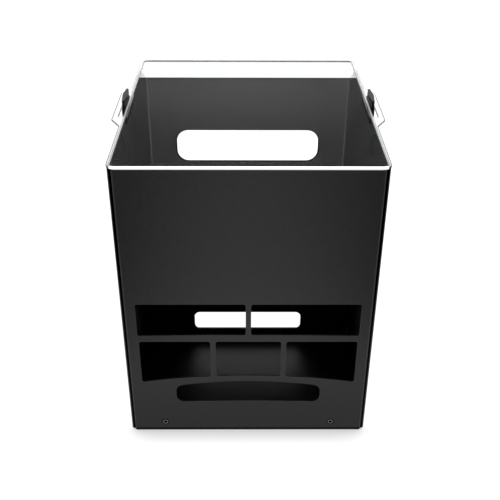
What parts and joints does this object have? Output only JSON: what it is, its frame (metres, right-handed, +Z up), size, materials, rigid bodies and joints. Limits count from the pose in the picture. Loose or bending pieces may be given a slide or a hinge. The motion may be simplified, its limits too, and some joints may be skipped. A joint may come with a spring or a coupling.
{
  "type": "tool storage caddy",
  "caption": "Open-topped sheet-metal tool caddy with a lift-out clear bin liner held by slide catches, above an open-fronted tool bay with windows and slots.",
  "frame": {"origin": "on the table, under the middle of the caddy's bounding box", "axes": "+X to the caddy's right seen from the front, +Y from the front panel to the back, +Z up; the front faces -Y"},
  "size_m": [0.2716, 0.293, 0.32],
  "materials": {
    "black_powder_coat": "satin black powder coat with a fine texture",
    "clear_plastic": "clear polished plastic sheet",
    "black_plastic": "moulded black plastic, lightly grained",
    "screw_steel": "plain machined steel",
    "black_rivet": "black painted rivet",
    "foot_rubber": "matt black rubber"
  },
  "bodies": {
    "shell": {"front_panel": "black_powder_coat", "body_wrap": "black_powder_coat", "bin_floor": "black_powder_coat", "bay_rear_wall": "black_powder_coat", "base_panel": "black_powder_coat", "base_screws": "screw_steel", "clinch_nuts": "screw_steel", "side_rivets": "black_rivet", "rubber_feet": "foot_rubber"},
    "liner": {"clear_liner": "clear_plastic", "left_backing_strip": "black_plastic", "right_backing_strip": "black_plastic"},
    "left_catch": {"left_thumb_grip": "black_plastic", "left_catch_hook": "black_plastic", "left_catch_screws": "screw_steel"},
    "right_catch": {"right_thumb_grip": "black_plastic", "right_catch_hook": "black_plastic", "right_catch_screws": "screw_steel"}
  },
  "joints": [
    {"name": "liner_lift", "type": "slide", "parent": "shell", "child": "liner", "axis": [0, 0, 1], "range_m": [0, 0.15]},
    {"name": "left_catch_slide", "type": "slide", "parent": "liner", "child": "left_catch", "axis": [0, -1, 0], "range_m": [0, 0.024]},
    {"name": "right_catch_slide", "type": "slide", "parent": "liner", "child": "right_catch", "axis": [0, -1, 0], "range_m": [0, 0.024]}
  ]
}
